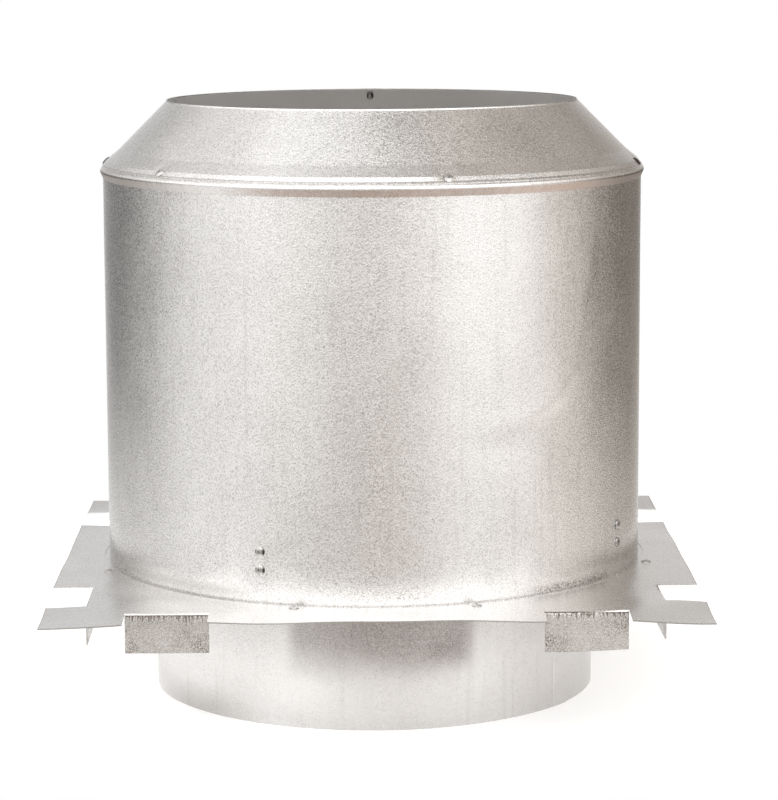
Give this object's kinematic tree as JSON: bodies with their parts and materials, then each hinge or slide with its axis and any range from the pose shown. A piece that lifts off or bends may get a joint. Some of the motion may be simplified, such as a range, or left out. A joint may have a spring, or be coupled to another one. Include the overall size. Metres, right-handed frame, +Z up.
{
  "type": "attic shield for a chimney pipe",
  "caption": "Galvanised sheet attic shield for a chimney pipe: cylindrical shell with conical collar on a square joist plate with tabs, sleeve below.",
  "frame": {"origin": "on the shield's axis, which is the pipe's, level with the lower rim of the sleeve on which it stands", "axes": "+Z up along the pipe's axis towards the collar's opening; -Y is the front, and the plate's sides lie along X and Y"},
  "size_m": [0.411, 0.411, 0.3912],
  "materials": {
    "galvanised_sheet": "spangled zinc, half matt",
    "rivet_steel": "zinc plated, dull"
  },
  "bodies": {
    "root": {"top_collar": "galvanised_sheet", "shield_shell": "galvanised_sheet", "sleeve_ring": "galvanised_sheet", "lower_sleeve": "galvanised_sheet", "base_plate": "galvanised_sheet", "front_bracket": "galvanised_sheet", "right_bracket": "galvanised_sheet", "back_bracket": "galvanised_sheet", "left_bracket": "galvanised_sheet", "collar_rivets": "rivet_steel", "collar_seam_rivets": "rivet_steel", "bracket_wall_rivets": "rivet_steel", "bracket_foot_rivets": "rivet_steel", "plate_rivets": "rivet_steel"}
  },
  "joints": []
}
